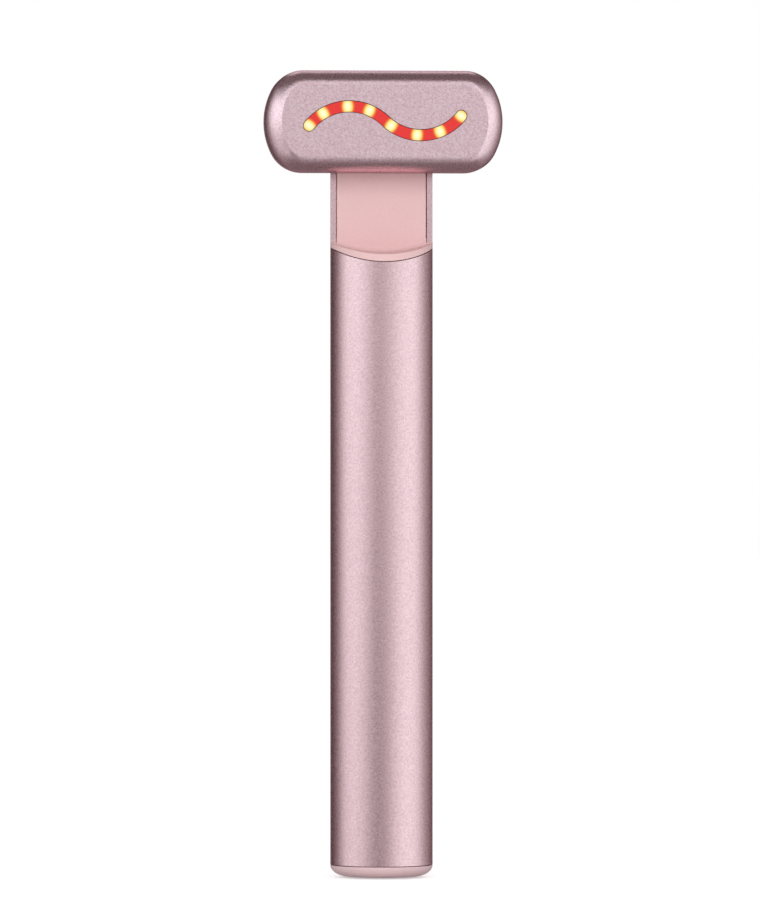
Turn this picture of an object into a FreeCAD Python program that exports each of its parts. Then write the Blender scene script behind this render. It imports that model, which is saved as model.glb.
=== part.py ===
"""A hand-held skin-care light wand with a swivelling T-shaped head, in millimetres.

The handle stands along +Z on its end cap, and the treatment face of the head looks along -Y.
The origin lies on the handle's axis, in the plane that the wand stands on. The head turns about an
axis along Y, from the T shape built here to a quarter turn each way, where it lies along the handle.
"""
import FreeCAD
import Part
import math
import os

Vector = FreeCAD.Vector

# Fits and cuts that many pieces share
overrun = 1.0
match_tolerance = 0.01
seat_clearance = 0.05
running_clearance = 0.05
slide_clearance = 0.15
quarter_round_share = 0.5523
middle_share = 0.5

# Handle tube, cut away in front above the scoop
handle_diameter = 18.0
tube_wall = 1.0
pivot_height = 132.4
neck_setback = 0.5
neck_crown_extra = 1.5

# Head shells
head_length = 41.8
head_height = 17.8
head_depth = 9.2
head_corner_radius = 6.0
head_end_extra = 3.4
head_wall = 1.2
face_wall = 1.0
face_round_long = 3.3
face_round_end = 4.6
face_skim = 0.35
pocket_round = 2.0
back_shell_depth = 2.9
back_wall = 1.0
back_round = 1.8
gasket_thickness = 0.3
gasket_setback = 0.2
swivel_gap = 0.3

# Neck insert, a plastic tray that fills the cut-away and carries the swivel
insert_fit = 0.10
plate_recess = 0.15
plate_thickness = 1.6
plate_edge_round = 0.2
swing_clearance = 1.76
scoop_radius = 25.0
scoop_lean_deg = 4.0
scoop_root_round = 0.8
ramp_wall = 1.5
lip_thickness = 1.19
lip_seam = 0.18
seam_radius = 21.0
collar_wall = 1.2
collar_depth = 4.0
arch_wall = 1.4

# Swivel joint
post_radius = 2.5
post_flange_rim = 1.0
post_flange_thickness = 1.2
post_flange_corner = 1.0
post_tip = 0.8
bush_wall = 0.8
bush_flange_width = 1.2
bush_flange_thickness = 0.8
thrust_washer_width = 1.2
spring_washer_height = 0.8
spring_washer_sheet = 0.35
spring_washer_width = 1.4
clip_thickness = 0.6
clip_depth = 0.5
clip_width = 1.3
clip_opening = 3.0
stop_pin_radius = 0.8
stop_reach_share = 0.65
stop_spare_deg = 3.0
swivel_half_range_deg = 90.0

# Light wave on the treatment face
wave_rise_share = 0.735
wave_crest_share = 0.469
wave_width = 2.1
lens_clearance = 0.12
lens_recess = 0.1
lens_flange_width = 0.8
lens_flange_thickness = 0.6
led_place_shares = (0.0, 0.110, 0.260, 0.390, 0.545, 0.707, 0.844, 1.0)
led_length = 1.6
led_width = 0.8
led_height = 0.5
led_gap = 0.2

# Light board, heater and contact inside the head
light_board_inset = 2.3
light_board_thickness = 0.6
heater_margin = 0.92
heater_thickness = 0.2
heater_window = 0.4
sensor_length = 1.6
sensor_width = 0.9
sensor_height = 0.6
sensor_across_share = 0.45
sensor_up_share = 0.5
face_contact_width = 0.9
face_contact_length = 2.4
contact_sheet = 0.2
head_plug_length = 4.0
head_plug_width = 3.0
head_plug_height_share = 0.45

# Head screws and their bosses
screw_across_share = 0.80
screw_up_share = 0.56
boss_radius = 1.3
boss_seat_width = 0.6
boss_root = 0.4
screw_radius = 0.7
screw_head_radius = 1.2
screw_head_height = 0.7
screw_head_sink = 0.1
screw_bite = 2.4
screw_slot_width = 0.3
screw_slot_depth = 0.3
screw_sleeve_wall = 0.7

# Vibration motor in the head
motor_length = 6.6
motor_board_gap = 0.3
motor_place_share = 0.5
boot_wall_share = 0.2
motor_shaft_radius = 0.4
weight_gap = 0.6
weight_length = 3.0
weight_radius_share = 0.95
weight_flat_share = 0.4

# End cap and charging port
cap_lip_height = 2.0
cap_round_width = 3.2
cap_seam = 0.15
cap_floor = 2.5
cap_fit = 0.1
cap_plug_height = 6.5
cap_plug_wall = 2.2
port_width = 8.94
port_thickness = 3.26
port_wall = 0.3
port_recess = 0.4
port_back = 1.6
tongue_width = 6.7
tongue_thickness = 0.7
tongue_recess = 0.9
seal_radius = 0.5
seal_height_share = 0.5
light_pipe_radius = 0.8
light_pipe_place_share = 0.7
charge_led_size = 1.6
charge_led_height = 0.6
charge_board_thickness = 1.0
charge_board_margin = 0.3

# Chassis, battery and main board in the handle
chassis_wall = 0.8
main_board_length = 40.0
main_board_thickness = 1.0
main_board_bearing = 0.4
battery_clearance = 0.05
battery_end_round = 0.6
battery_play = 0.4
tab_sheet = 0.15
tab_width = 4.0
tab_length_share = 0.7
pad_width = 6.0
pad_length_share = 0.5
board_screw_radius = 0.8
board_screw_head_radius = 1.5
board_screw_head_height = 0.9
board_screw_length = 4.0
board_screw_offset = 4.0
chip_height = 1.2
chip_size_shares = (0.50, 0.34, 0.44)
chip_place_shares = (0.26, 0.48, 0.72)
tube_contact_gap = 1.5
tube_contact_size = 3.0

# Power button on the rear of the handle
button_below_scoop = 24.0
button_radius = 3.6
button_proud = 0.5
button_edge_round = 0.3
button_travel = 0.4
button_flange_width = 0.9
button_flange_thickness = 0.8
button_stem_radius = 1.4
switch_size = 4.6
switch_height = 1.6
plunger_radius = 1.0
plunger_height = 0.8

# Leads
head_lead_radius = 0.5
head_lead_clearance = 0.4
handle_lead_run = 4.0
lead_bend_share = 0.9
socket_width = 4.0
socket_length = 4.0
charge_lead_radius = 0.35
charge_lead_bend = 1.2
charge_lead_landing = 5.0

# Places from front to back
handle_radius = handle_diameter / 2
bore_radius = handle_radius - tube_wall
insert_radius = bore_radius - insert_fit
head_half_length = head_length / 2
head_half_height = head_height / 2
head_back_y = -swivel_gap
head_front_y = head_back_y - head_depth
head_blank_y = head_front_y - face_skim
face_inner_y = head_front_y + face_wall
back_rim_y = head_back_y - back_shell_depth
face_rim_y = back_rim_y - gasket_thickness
back_inner_y = head_back_y - back_wall
lens_back_y = face_inner_y + lens_flange_thickness
light_board_front_y = lens_back_y + led_gap + led_height
light_board_back_y = light_board_front_y + light_board_thickness
post_flange_y = back_inner_y - post_flange_thickness
head_plug_back_y = light_board_back_y + (post_flange_y - light_board_back_y) * head_plug_height_share
plate_back_y = plate_recess + plate_thickness
bush_back_y = plate_back_y + bush_flange_thickness
clip_front_y = bush_back_y + spring_washer_height + running_clearance
clip_back_y = clip_front_y + clip_thickness
post_end_y = clip_back_y + post_tip
boot_half_depth = (back_inner_y - light_board_back_y - motor_board_gap) / 2
motor_radius = boot_half_depth * (1 - boot_wall_share)
motor_axis_y = back_inner_y - boot_half_depth
switch_face_y = main_board_thickness + switch_height
plunger_tip_y = switch_face_y + plunger_height
lead_board_y = plate_back_y + slide_clearance + head_lead_radius
lead_down_y = bore_radius - 2 * slide_clearance - head_lead_radius

# Places up the handle
neck_top = pivot_height + head_half_height - neck_setback
crown_radius = handle_radius + neck_crown_extra
crown_z = neck_top - crown_radius
scoop_floor_z = pivot_height - head_half_length - swing_clearance
scoop_flare = math.tan(math.radians(scoop_lean_deg))
scoop_axis_z = scoop_floor_z + scoop_radius
scoop_front_z = scoop_floor_z - handle_radius * scoop_flare
scoop_side_z = scoop_axis_z - math.sqrt(scoop_radius ** 2 - handle_radius ** 2) + scoop_root_round
collar_bottom = scoop_front_z - ramp_wall - collar_depth
cap_plug_radius = bore_radius - cap_fit
cap_plug_top = cap_lip_height + cap_plug_height
light_pipe_offset = (cap_plug_radius - cap_plug_wall) * light_pipe_place_share
seal_z = cap_lip_height + cap_plug_height * seal_height_share
charge_board_top = cap_plug_top + charge_board_thickness
bulkhead_thickness = 2 * (board_screw_head_radius + slide_clearance)
board_top = collar_bottom
board_bottom = board_top - main_board_length
battery_bottom = charge_board_top + bulkhead_thickness + battery_play
battery_top = board_bottom - battery_play
button_z = scoop_floor_z - button_below_scoop
socket_top = board_top - bulkhead_thickness

# Sizes that follow their neighbours
chassis_radius = bore_radius - slide_clearance
trough_radius = chassis_radius - chassis_wall
battery_radius = trough_radius - battery_clearance
bush_inner_radius = post_radius + running_clearance
bush_outer_radius = bush_inner_radius + bush_wall
post_flange_width = 2 * (post_radius + post_flange_rim)
post_frame_width = post_flange_width + 2 * (slide_clearance + head_wall)
motor_room = head_half_length - head_wall - post_frame_width / 2
motor_spare = motor_room - motor_length - weight_gap - weight_length
motor_start = post_frame_width / 2 + motor_spare * motor_place_share
motor_end = motor_start + motor_length
weight_end = motor_end + weight_gap + weight_length
thrust_washer_radius = bush_inner_radius + thrust_washer_width
stop_pin_orbit = thrust_washer_radius + 2 * slide_clearance + stop_pin_radius
stop_pin_z = pivot_height - stop_pin_orbit
heater_inset = head_wall + pocket_round + running_clearance
contact_end = head_half_length - head_wall - pocket_round - slide_clearance
contact_start = contact_end - face_contact_width
heater_half_length = contact_start - slide_clearance
heater_half_height = head_half_height - heater_inset
window_half_width = wave_width / 2 + lens_flange_width + heater_window
wave_reach = heater_half_length - window_half_width - heater_margin
wave_crest_rise = (heater_half_height - window_half_width) * wave_rise_share
wave_crest_offset = wave_reach * wave_crest_share
wave_radius = (wave_crest_offset ** 2 + wave_crest_rise ** 2) / (2 * wave_crest_rise)
wave_outer_deg = 90 + math.degrees(math.asin((wave_reach - wave_crest_offset) / wave_radius))
wave_inner_deg = 90 - math.degrees(math.asin(wave_crest_offset / wave_radius))
boss_across = head_half_length * screw_across_share
boss_up = head_half_height * screw_up_share
boss_places = [(x, pivot_height + up) for x in (-boss_across, boss_across) for up in (-boss_up, boss_up)]
board_screw_places = [
    (-board_screw_offset, board_bottom + bulkhead_thickness / 2),
    (board_screw_offset, board_top - bulkhead_thickness / 2),
]


def box(low, high):
    """Box between two opposite corners, each given as x, y, z."""
    size = Vector(*high) - Vector(*low)
    return Part.makeBox(size.x, size.y, size.z, Vector(*low))


def rod(radius, start, end):
    """Solid cylinder between two points."""
    along = end - start
    return Part.makeCylinder(radius, along.Length, start, along)


def rod_z(radius, low, high):
    """Solid cylinder on the handle's axis."""
    return rod(radius, Vector(0, 0, low), Vector(0, 0, high))


def rod_y(radius, near, far, x=0.0, z=pivot_height):
    """Solid cylinder along Y, on the swivel's axis unless another place is given."""
    return rod(radius, Vector(x, near, z), Vector(x, far, z))


def ring_y(outer, inner, near, far):
    """Flat ring on the swivel's axis."""
    return rod_y(outer, near, far).cut(rod_y(inner, near - overrun, far + overrun))


def one_solid(shape):
    """The one solid of a boolean result, with its split faces joined where that leaves it sound."""
    joined = shape.removeSplitter()
    return joined.Solids[0] if joined.isValid() else shape.Solids[0]


def polar(centre, radius, angle, y):
    """Point at an angle, in degrees from +X towards +Z, around a centre given as x, z."""
    turn = math.radians(angle)
    return Vector(centre[0] + radius * math.cos(turn), y, centre[1] + radius * math.sin(turn))


def arc_edge(centre, radius, start, end, y):
    """Arc in a plane of constant Y between two angles in degrees."""
    points = [polar(centre, radius, angle, y) for angle in (start, (start + end) / 2, end)]
    return Part.Arc(*points).toShape()


def line_edge(start, end):
    """Straight edge between two points."""
    return Part.LineSegment(start, end).toShape()


def prism_y(edges, near, far):
    """Prism of a closed outline that lies in the plane of constant Y at near."""
    return Part.Face(Part.Wire(edges)).extrude(Vector(0, far - near, 0))


def arc_band(centre, radius, start, end, half_width, near, far):
    """Round-ended band along an arc, from the Y of near to that of far."""
    first = polar(centre, radius, start, near)
    last = polar(centre, radius, end, near)
    turn = math.copysign(180, end - start)
    edges = [
        arc_edge(centre, radius + half_width, start, end, near),
        arc_edge((last.x, last.z), half_width, end, end + turn, near),
        arc_edge(centre, radius - half_width, end, start, near),
        arc_edge((first.x, first.z), half_width, start + turn, start + 2 * turn, near),
    ]
    return prism_y(edges, near, far)


def rounded_plate(half_length, half_height, corner, near, far):
    """Plate with rounded corners, centred on the swivel's axis."""
    low, high = pivot_height - half_height, pivot_height + half_height
    plate = box((-half_length, near, low), (half_length, far, high))
    corners = [edge for edge in plate.Edges if edge.BoundBox.YLength > match_tolerance]
    return plate.makeFillet(corner, corners)


def pill_z(width, thickness, low, high):
    """Round-sided prism along the handle's axis, as wide along X as given."""
    half = thickness / 2
    reach = width / 2 - half
    ends = [rod(half, Vector(x, 0, low), Vector(x, 0, high)) for x in (-reach, reach)]
    return one_solid(box((-reach, -half, low), (reach, half, high)).fuse(ends))


def front_half(low, high, back=0.0):
    """Space in front of the handle's middle plane, or of another Y."""
    return box((-handle_diameter, -handle_diameter, low), (handle_diameter, back, high))


def edges_at(shape, y):
    """Edges that lie wholly in a plane of constant Y."""
    flat = [edge for edge in shape.Edges if edge.BoundBox.YLength < match_tolerance]
    return [edge for edge in flat if abs(edge.BoundBox.YMin - y) < match_tolerance]


# Handle and neck


def scoop_bowl(drop, back, radius):
    """Conical bowl that hollows the scoop, lowered by drop, with its flat end at a Y of back."""
    reach = handle_diameter + back
    start = Vector(0, back, scoop_floor_z + radius - drop)
    near_radius = radius - scoop_flare * back
    return Part.makeCone(near_radius, near_radius + scoop_flare * reach, reach, start, Vector(0, -1, 0))


def scoop_space(drop, back=0.0, root=0.0, radius=scoop_radius):
    """Space in front of the neck that the head swings through, with its root rounded where asked."""
    bowl = scoop_bowl(drop, back, radius)
    if root:
        bowl = bowl.makeFillet(root, edges_at(bowl, back))
    low = scoop_floor_z + radius - drop
    return bowl.fuse(front_half(low, low + 2 * radius, back))


def crown_waste():
    """What is cut off around the neck's arched top."""
    far = handle_diameter + overrun
    block = box((-far, -handle_diameter, crown_z), (far, handle_diameter, neck_top + overrun))
    return block.cut(rod_y(crown_radius, -far, far, z=crown_z))


def handle_tube():
    """Aluminium tube, open at the foot, whose rear half runs up behind the head as the neck."""
    low = cap_lip_height + cap_seam
    tube = rod_z(handle_radius, low, neck_top).cut(rod_z(bore_radius, low - overrun, neck_top + overrun))
    tube = tube.cut(scoop_space(lip_thickness + lip_seam, radius=seam_radius)).cut(crown_waste())
    hole = rod_y(button_radius + slide_clearance, 0, handle_diameter, z=button_z)
    return one_solid(tube.cut(hole))


def neck_plate(core):
    """Flat plate behind the head, up from the scoop's floor, with a softened rim."""
    low = (-handle_diameter, plate_recess, scoop_floor_z)
    plate = core.common(box(low, (handle_diameter, plate_back_y, neck_top))).cut(crown_waste())
    rim = [edge for edge in edges_at(plate, plate_recess) if edge.BoundBox.ZLength > match_tolerance]
    return plate.makeFillet(plate_edge_round, rim)


def scoop_blank(core):
    """Block under the scoop with the lip that covers the tube's cut edge, before the scoop is hollowed."""
    block = core.common(front_half(collar_bottom, scoop_side_z, plate_back_y))
    lip = rod_z(handle_radius, collar_bottom, scoop_side_z).common(front_half(collar_bottom, scoop_side_z))
    return block.fuse(lip.common(scoop_space(lip_thickness, radius=seam_radius)))


def collar_hollow():
    """Hollow under the scoop's floor, which leaves a collar that centres the insert in the tube."""
    low = collar_bottom - overrun
    hollow = rod_z(insert_radius - collar_wall, low, scoop_side_z)
    return hollow.common(front_half(low, scoop_side_z)).cut(scoop_space(ramp_wall))


def neck_arch(core):
    """Roof that closes the neck behind the plate."""
    middle = (plate_recess + plate_back_y) / 2
    space = box((-handle_diameter, middle, crown_z), (handle_diameter, handle_diameter, neck_top))
    hollow = rod_y(crown_radius - arch_wall, -handle_diameter, handle_diameter, z=crown_z)
    return core.common(space).cut(hollow).cut(crown_waste())


def stop_slot():
    """Arc-shaped slot that the stop pin runs in, below the swivel's axis."""
    half_turn = swivel_half_range_deg + stop_spare_deg
    half_width = stop_pin_radius + slide_clearance
    ends = (-90 - half_turn, -90 + half_turn)
    return arc_band((0, pivot_height), stop_pin_orbit, *ends, half_width, -overrun, plate_back_y + overrun)


def neck_insert():
    """Plastic tray: flat neck plate, scoop with its lip and collar, and arched roof."""
    core = rod_z(insert_radius, collar_bottom, neck_top)
    lower = scoop_blank(core).cut(scoop_space(0, plate_recess, scoop_root_round)).cut(collar_hollow())
    tray = neck_plate(core).fuse([lower, neck_arch(core)])
    tray = tray.cut(rod_y(bush_outer_radius + seat_clearance, -overrun, plate_back_y + overrun))
    return one_solid(tray.cut(stop_slot()))


# Swivel joint


def swivel_bush():
    """Flanged nylon bush in the neck plate."""
    sleeve = ring_y(bush_outer_radius, bush_inner_radius, plate_recess, plate_back_y)
    flange = ring_y(bush_outer_radius + bush_flange_width, bush_inner_radius, plate_back_y, bush_back_y)
    return one_solid(sleeve.fuse(flange))


def swivel_post():
    """Hollow post with a square flange that locks into the head's back shell."""
    half = post_flange_width / 2
    flange = rounded_plate(half, half, post_flange_corner, post_flange_y, back_inner_y)
    shaft = rod_y(post_radius, back_inner_y, post_end_y)
    groove = ring_y(post_radius + overrun, post_radius - clip_depth, clip_front_y, clip_back_y)
    bore = rod_y(head_lead_radius + head_lead_clearance, post_flange_y - overrun, post_end_y + overrun)
    return one_solid(flange.fuse(shaft).cut(groove).cut(bore))


def thrust_washer():
    """Thin slip washer between the head and the neck plate, inside the stop pin's orbit."""
    return ring_y(thrust_washer_radius, bush_inner_radius, head_back_y, plate_recess - running_clearance)


def spring_washer():
    """Dished washer that presses the head onto the neck and holds it where it is turned."""
    inner = post_radius + slide_clearance
    outer = inner + spring_washer_width
    tip = bush_back_y + spring_washer_height
    outline = [
        Vector(outer, bush_back_y, 0),
        Vector(outer, bush_back_y + spring_washer_sheet, 0),
        Vector(inner, tip, 0),
        Vector(inner, tip - spring_washer_sheet, 0),
    ]
    face = Part.Face(Part.makePolygon(outline + outline[:1]))
    dish = face.revolve(Vector(0, 0, 0), Vector(0, 1, 0), 360)
    return dish.translated(Vector(0, 0, pivot_height))


def retaining_clip():
    """Open snap ring in the post's groove."""
    inner = post_radius - clip_depth + seat_clearance
    ring = ring_y(inner + clip_width, inner, clip_front_y, clip_back_y)
    half = clip_opening / 2
    top = pivot_height + post_radius + clip_width
    opening = box((-half, clip_front_y - overrun, pivot_height), (half, clip_back_y + overrun, top))
    return one_solid(ring.cut(opening))


def stop_pin():
    """Pin in the head's back shell that runs in the neck plate's arc slot."""
    tip = plate_recess + plate_thickness * stop_reach_share
    return rod_y(stop_pin_radius, post_flange_y, tip, z=stop_pin_z)


# Head shells


def head_outline(inset, y):
    """Edges of the head's outline, drawn in by inset: flat long sides, round corners and bowed ends."""
    half_height = head_half_height - inset
    end_radius = head_half_height + head_end_extra - inset
    corner = head_corner_radius - inset
    end_x = head_half_length - inset - end_radius
    rise = half_height - corner
    corner_x = end_x + math.sqrt((end_radius - corner) ** 2 - rise ** 2)
    tilt = math.degrees(math.atan2(rise, corner_x - end_x))
    top, bottom = pivot_height + half_height, pivot_height - half_height
    high, low = pivot_height + rise, pivot_height - rise
    return [
        arc_edge((end_x, pivot_height), end_radius, -tilt, tilt, y),
        arc_edge((corner_x, high), corner, tilt, 90, y),
        line_edge(Vector(corner_x, y, top), Vector(-corner_x, y, top)),
        arc_edge((-corner_x, high), corner, 90, 180 - tilt, y),
        arc_edge((-end_x, pivot_height), end_radius, 180 - tilt, 180 + tilt, y),
        arc_edge((-corner_x, low), corner, 180 + tilt, 270, y),
        line_edge(Vector(-corner_x, y, bottom), Vector(corner_x, y, bottom)),
        arc_edge((corner_x, low), corner, 270, 360 - tilt, y),
    ]


def head_block(inset, near, far):
    """Prism of the head's outline."""
    return prism_y(head_outline(inset, near), near, far)


def face_round_at(point):
    """Rounding of the face's edge at a joint of its outline: small on the long sides, large at the ends."""
    on_long_side = abs(abs(point.z - pivot_height) - head_half_height) < match_tolerance
    return face_round_long if on_long_side else face_round_end


def round_face_edge(block):
    """Rounds the front edge, wider at the bowed ends than along the long sides."""
    document = FreeCAD.newDocument("rounding")
    base = document.addObject("Part::Feature", "block")
    base.Shape = block
    fillet = document.addObject("Part::Fillet", "rounded")
    fillet.Base = base
    wanted = []
    for number, edge in enumerate(base.Shape.Edges, start=1):
        bounds = edge.BoundBox
        if max(abs(bounds.YMin - head_blank_y), abs(bounds.YMax - head_blank_y)) < match_tolerance:
            ends = [edge.valueAt(place) for place in (edge.FirstParameter, edge.LastParameter)]
            wanted.append((number, face_round_at(ends[0]), face_round_at(ends[1])))
    fillet.Edges = wanted
    document.recompute()
    rounded = fillet.Shape.copy()
    FreeCAD.closeDocument(document.Name)
    return rounded


def wave_centre(side):
    """Centre of the wave's left arc, for a side of -1, or of its right arc, for 1."""
    return side * wave_crest_offset, pivot_height + side * (wave_radius - wave_crest_rise)


def wave_band(half_width, near, far):
    """Round-ended band along the whole wave."""
    left = (wave_centre(-1), wave_radius, wave_outer_deg, wave_inner_deg)
    right = (wave_centre(1), wave_radius, wave_outer_deg - 180, wave_inner_deg - 180)
    bands = [arc_band(*arc, half_width, near, far) for arc in (left, right)]
    return one_solid(bands[0].fuse(bands[1]))


def wave_place(share):
    """Point of the wave at a share of its length from the left end, with its heading in degrees."""
    side = -1 if share <= middle_share else 1
    along = min(share, 1 - share) / middle_share
    angle = wave_outer_deg + (wave_inner_deg - wave_outer_deg) * along
    turn = 0 if side < 0 else -180
    return polar(wave_centre(side), wave_radius, angle + turn, 0), angle - 90


def face_bosses():
    """Screw bosses behind the treatment face, with the seats that the light board lies on."""
    root_y = face_inner_y - boss_root
    room = head_block(head_wall - boss_root, root_y, face_rim_y + overrun)
    room = room.makeFillet(pocket_round + boss_root, edges_at(room, root_y))
    bosses = []
    near = root_y - overrun
    for x, z in boss_places:
        seat = rod_y(boss_radius + boss_seat_width, near, light_board_front_y, x, z)
        boss = rod_y(boss_radius, near, face_rim_y, x, z)
        bosses += [seat.common(room), boss.common(room)]
    return bosses


def head_face():
    """Metal treatment shell, milled flat in front, with the wave-shaped slot and the screw bosses."""
    shell = round_face_edge(head_block(0, head_blank_y, face_rim_y))
    shell = shell.cut(head_block(-overrun, head_blank_y - overrun, head_front_y))
    pocket = head_block(head_wall, face_inner_y, face_rim_y + overrun)
    pocket = pocket.makeFillet(pocket_round, edges_at(pocket, face_inner_y))
    shell = shell.cut(pocket).fuse(face_bosses())
    near, far = face_rim_y - screw_bite, face_rim_y + overrun
    for x, z in boss_places:
        shell = shell.cut(rod_y(screw_radius + seat_clearance, near, far, x, z))
    return one_solid(shell.cut(wave_band(wave_width / 2, head_front_y - overrun, face_inner_y + overrun)))


def head_gasket():
    """Silicone seal between the two head shells, open around the screw bosses."""
    ring = head_block(gasket_setback, face_rim_y, back_rim_y)
    ring = ring.cut(head_block(head_wall, face_rim_y - overrun, back_rim_y + overrun))
    return one_solid(ring)


def post_frame():
    """Square frame inside the back shell that keeps the post from turning."""
    half = post_frame_width / 2
    far = back_inner_y + seat_clearance
    frame = rounded_plate(half, half, post_flange_corner + head_wall, post_flange_y, far)
    inner = half - head_wall
    return frame.cut(rounded_plate(inner, inner, post_flange_corner, post_flange_y - overrun, back_inner_y))


def pin_boss():
    """Boss around the stop pin, clear of the post's frame."""
    boss = rod_y(stop_pin_radius + head_wall, post_flange_y, back_inner_y + seat_clearance, z=stop_pin_z)
    half = post_frame_width / 2 - head_wall
    return boss.cut(rounded_plate(half, half, post_flange_corner, post_flange_y - overrun, back_inner_y))


def screw_sleeves():
    """Sleeves inside the back shell that the head screws pass through."""
    outer = screw_head_radius + screw_sleeve_wall
    inside = head_block(head_wall / 2, back_rim_y, head_back_y)
    far = back_inner_y + seat_clearance
    return [rod_y(outer, back_rim_y, far, x, z).common(inside) for x, z in boss_places]


def head_back():
    """Rear shell of the head, with the post's seat, the stop pin's boss and sunk screw holes."""
    block = head_block(0, back_rim_y, head_back_y)
    shell = block.makeFillet(back_round, edges_at(block, head_back_y))
    shell = shell.cut(head_block(head_wall, back_rim_y - overrun, back_inner_y))
    shell = shell.fuse([post_frame(), pin_boss()] + screw_sleeves())
    near, far = back_rim_y - overrun, head_back_y + overrun
    shell = shell.cut(rod_y(post_radius + seat_clearance, back_inner_y - overrun, far))
    shell = shell.cut(rod_y(stop_pin_radius + seat_clearance, near, far, z=stop_pin_z))
    sink = head_back_y - screw_head_sink - screw_head_height
    for x, z in boss_places:
        shell = shell.cut(rod_y(screw_radius + slide_clearance, near, far, x, z))
        shell = shell.cut(rod_y(screw_head_radius + slide_clearance, sink, far, x, z))
    return one_solid(shell)


def slotted_screw(place, head_size, shank_radius, under_head, tip):
    """Slotted screw along Y at a place given as x, z, with its head's size given as radius, height."""
    x, z = place
    head_radius, head_height = head_size
    top = under_head + head_height
    half = screw_slot_width / 2
    low = (x - head_radius, top - screw_slot_depth, z - half)
    slot = box(low, (x + head_radius, top + overrun, z + half))
    head = rod_y(head_radius, under_head, top, x, z)
    return one_solid(head.fuse(rod_y(shank_radius, tip, under_head, x, z)).cut(slot))


def head_screws():
    """Four slotted screws that hold the head's shells together."""
    under_head = head_back_y - screw_head_sink - screw_head_height
    tip = face_rim_y - screw_bite + slide_clearance
    size = (screw_head_radius, screw_head_height)
    screws = [slotted_screw(place, size, screw_radius, under_head, tip) for place in boss_places]
    return Part.makeCompound(screws)


# Light, heat and contact inside the head


def light_lens():
    """Red light guide that fills the wave-shaped slot, held by a flange behind the face."""
    stem = wave_band(wave_width / 2 - lens_clearance, head_front_y + lens_recess, lens_back_y)
    flange = wave_band(wave_width / 2 + lens_flange_width, face_inner_y, lens_back_y)
    return one_solid(stem.fuse(flange))


def light_board():
    """Board behind the lens, seated on the screw bosses."""
    near, far = light_board_front_y, light_board_back_y
    board = head_block(light_board_inset, near, far)
    for x, z in boss_places:
        board = board.cut(rod_y(boss_radius + slide_clearance, near - overrun, far + overrun, x, z))
    return one_solid(board)


def red_leds():
    """Light-emitting diodes on the light board, along the wave."""
    leds = []
    low = (-led_length / 2, light_board_front_y - led_height, -led_width / 2)
    high = (led_length / 2, light_board_front_y, led_width / 2)
    for share in led_place_shares:
        place, heading = wave_place(share)
        led = box(low, high)
        led.rotate(Vector(0, 0, 0), Vector(0, -1, 0), heading)
        leds.append(led.translated(place))
    return Part.makeCompound(leds)


def heater_film():
    """Thin heating film behind the treatment face, open around the lens and the screw bosses."""
    back = face_inner_y + heater_thickness
    low = (-heater_half_length, face_inner_y, pivot_height - head_half_height)
    ends = box(low, (heater_half_length, back, pivot_height + head_half_height))
    film = head_block(heater_inset, face_inner_y, back).common(ends)
    film = film.cut(wave_band(window_half_width, face_inner_y - overrun, back + overrun))
    relief = boss_radius + boss_seat_width + slide_clearance
    for x, z in boss_places:
        film = film.cut(rod_y(relief, face_inner_y - overrun, back + overrun, x, z))
    return one_solid(film)


def heat_sensor():
    """Small temperature sensor on the heating film, above the trough of the wave."""
    x = heater_half_length * sensor_across_share
    y = face_inner_y + heater_thickness
    z = pivot_height + heater_half_height * sensor_up_share
    return box((x, y, z), (x + sensor_length, y + sensor_height, z + sensor_width))


def face_contact():
    """Bent contact strip between the light board and the metal face, beside the heating film."""
    start, end = contact_start, contact_end
    low, high = pivot_height - face_contact_length / 2, pivot_height + face_contact_length / 2
    tip = box((start, face_inner_y, low), (end, face_inner_y + contact_sheet, high))
    foot = box((start, light_board_front_y - contact_sheet, low), (end, light_board_front_y, high))
    riser = box((start, face_inner_y, low), (end, light_board_front_y, low + contact_sheet))
    return one_solid(tip.fuse([foot, riser]))


def head_plug():
    """Connector on the back of the light board, on the swivel's axis."""
    x, z = head_plug_length / 2, head_plug_width / 2
    return box((-x, light_board_back_y, pivot_height - z), (x, head_plug_back_y, pivot_height + z))


def head_lead():
    """Lead from the head's connector, straight through the hollow post."""
    return rod_y(head_lead_radius, head_plug_back_y, post_end_y)


# Vibration motor


def motor_rod(radius, start, end):
    """Cylinder on the vibration motor's axis."""
    return rod(radius, Vector(start, motor_axis_y, pivot_height), Vector(end, motor_axis_y, pivot_height))


def vibration_motor():
    """Motor can, with its shaft's bearing hole at the outer end."""
    middle = (motor_start + motor_end) / 2
    hole = motor_rod(motor_shaft_radius + running_clearance, middle, motor_end + overrun)
    return one_solid(motor_rod(motor_radius, motor_start, motor_end).cut(hole))


def motor_boot():
    """Rubber block that seats the motor on the back shell."""
    low = (motor_start, motor_axis_y - boot_half_depth, pivot_height - boot_half_depth)
    block = box(low, (motor_end, back_inner_y, pivot_height + boot_half_depth))
    bore = motor_rod(motor_radius + seat_clearance, motor_start - overrun, motor_end + overrun)
    return one_solid(block.cut(bore))


def motor_shaft():
    """Motor shaft, from inside the can to the end of the eccentric weight."""
    middle = (motor_start + motor_end) / 2
    return motor_rod(motor_shaft_radius, middle + slide_clearance, weight_end)


def eccentric_weight():
    """Flattened weight that shakes the head as it spins."""
    start = motor_end + weight_gap
    radius = motor_radius * weight_radius_share
    flat = pivot_height + radius * weight_flat_share
    reach = radius + overrun
    low = (start - overrun, motor_axis_y - reach, flat)
    waste = box(low, (weight_end + overrun, motor_axis_y + reach, pivot_height + reach))
    bore = motor_rod(motor_shaft_radius + seat_clearance, start - overrun, weight_end + overrun)
    return one_solid(motor_rod(radius, start, weight_end).cut(waste).cut(bore))


# End cap and charging port


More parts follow.
